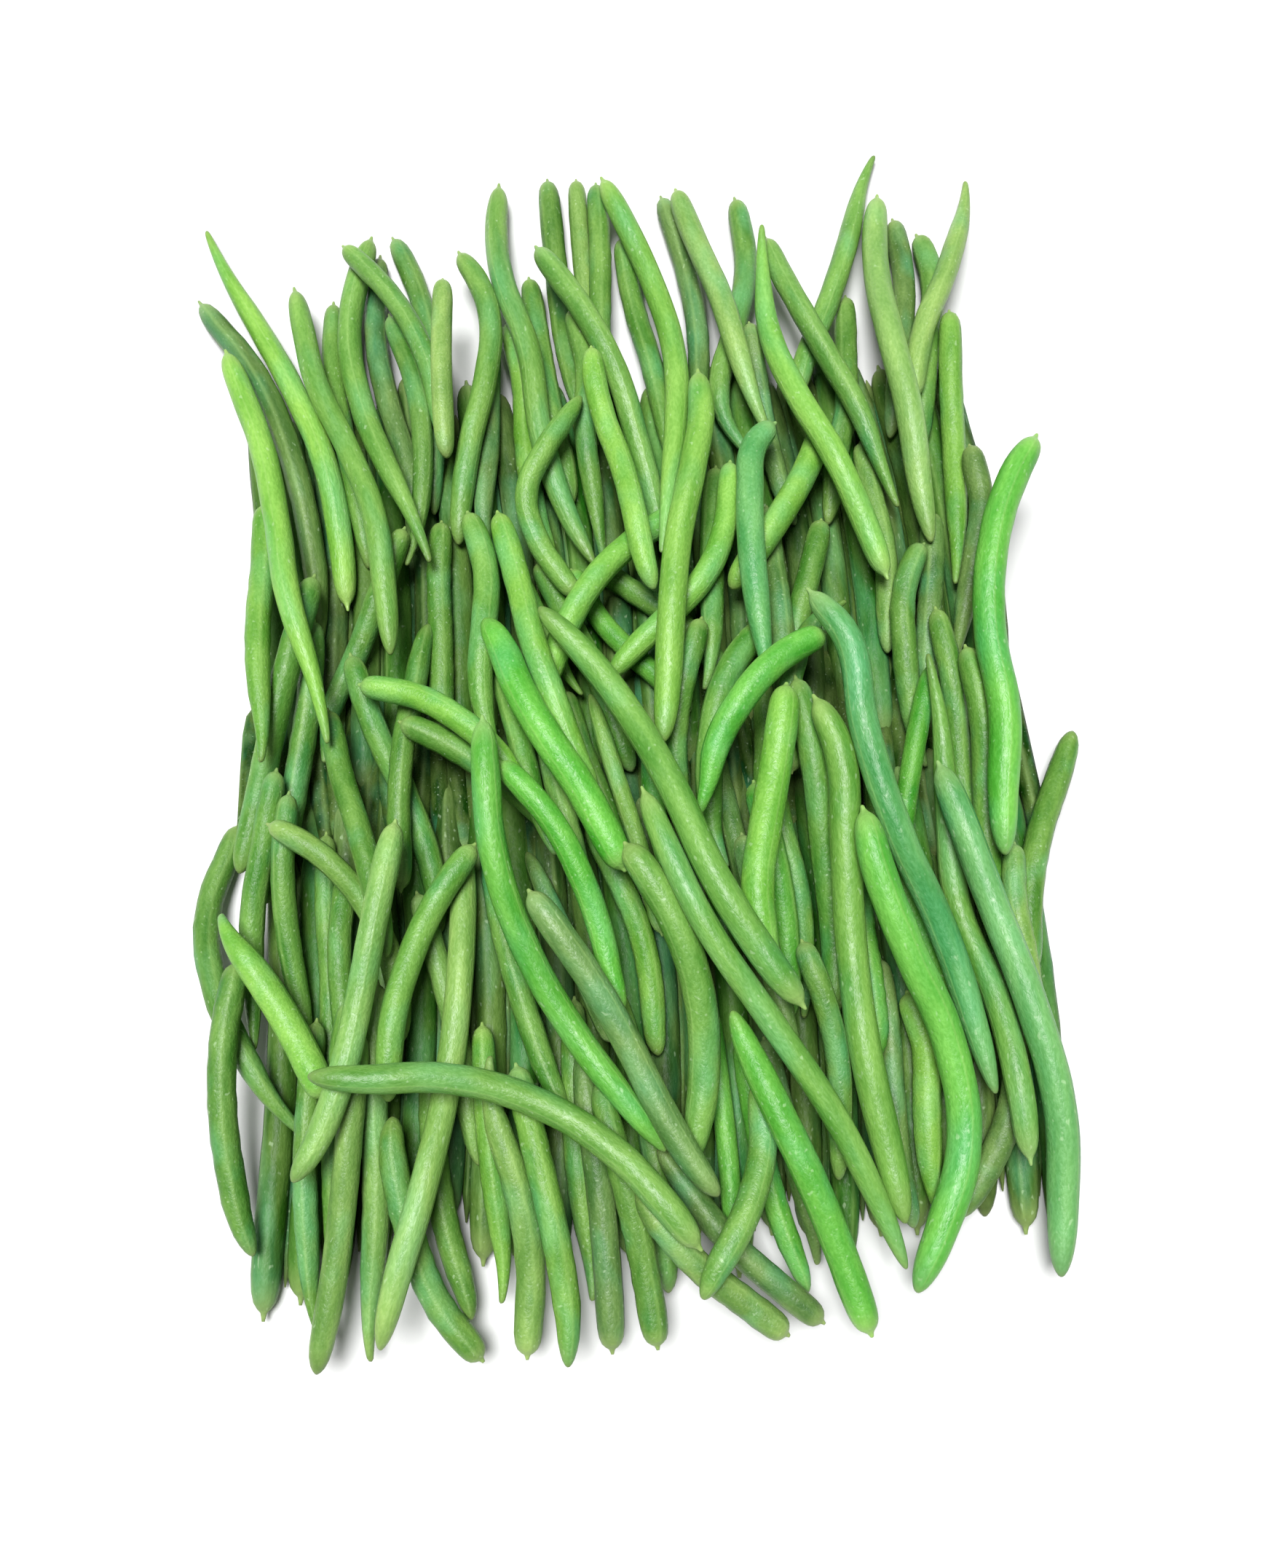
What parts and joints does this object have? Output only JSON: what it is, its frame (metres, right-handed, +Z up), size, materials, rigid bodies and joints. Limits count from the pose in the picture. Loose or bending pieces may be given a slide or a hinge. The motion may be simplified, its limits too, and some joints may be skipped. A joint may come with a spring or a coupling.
{
  "type": "green bean bundle",
  "caption": "Loose heap of fresh whole green beans, slim pods laid lengthwise over each other, each with a blunt stem end and a thin tail.",
  "frame": {"origin": "the middle of the heap's plan, on the table that it lies on", "axes": "+Y runs along the pods, from the front of the heap to its back; +Z is up"},
  "size_m": [0.3201, 0.4572, 0.0568],
  "materials": {
    "skin_grass": "smooth satin skin of a fresh green bean",
    "skin_leaf": "smooth satin skin of a fresh green bean",
    "skin_lime": "smooth satin skin of a fresh green bean",
    "skin_pale": "smooth satin skin of a fresh green bean",
    "skin_sage": "smooth satin skin of a fresh green bean",
    "skin_sea": "smooth satin skin of a fresh green bean"
  },
  "bodies": {
    "root": {"lower_pods_back_left": "skin_leaf", "lower_pods_left": "skin_leaf", "lower_pods_front_left": "skin_leaf", "lower_pods_front": "skin_leaf", "lower_pods_centre": "skin_leaf", "lower_pods_back": "skin_leaf", "lower_pods_back_right": "skin_leaf", "lower_pods_right": "skin_leaf", "lower_pods_front_right": "skin_leaf", "pod_01": "skin_lime", "pod_02": "skin_leaf", "pod_03": "skin_leaf", "pod_04": "skin_leaf", "pod_05": "skin_lime", "pod_06": "skin_leaf", "pod_07": "skin_pale", "pod_08": "skin_leaf", "pod_09": "skin_leaf", "pod_10": "skin_leaf", "pod_11": "skin_lime", "pod_12": "skin_lime", "pod_13": "skin_lime", "pod_14": "skin_leaf", "pod_15": "skin_pale", "pod_16": "skin_leaf", "pod_17": "skin_lime", "pod_18": "skin_lime", "pod_19": "skin_pale", "pod_20": "skin_pale", "pod_21": "skin_grass", "pod_22": "skin_leaf", "pod_23": "skin_lime", "pod_24": "skin_lime", "pod_25": "skin_lime", "pod_26": "skin_lime", "pod_27": "skin_lime", "pod_28": "skin_sea", "pod_29": "skin_leaf", "pod_30": "skin_grass", "pod_31": "skin_sea", "pod_32": "skin_grass", "pod_33": "skin_leaf", "pod_34": "skin_sea", "pod_35": "skin_grass", "pod_36": "skin_grass", "pod_37": "skin_grass", "pod_38": "skin_leaf", "pod_39": "skin_leaf", "pod_40": "skin_leaf", "pod_41": "skin_sage", "pod_42": "skin_leaf", "pod_43": "skin_grass", "pod_44": "skin_lime", "pod_45": "skin_pale", "pod_46": "skin_leaf", "pod_47": "skin_pale", "pod_48": "skin_leaf"}
  },
  "joints": []
}
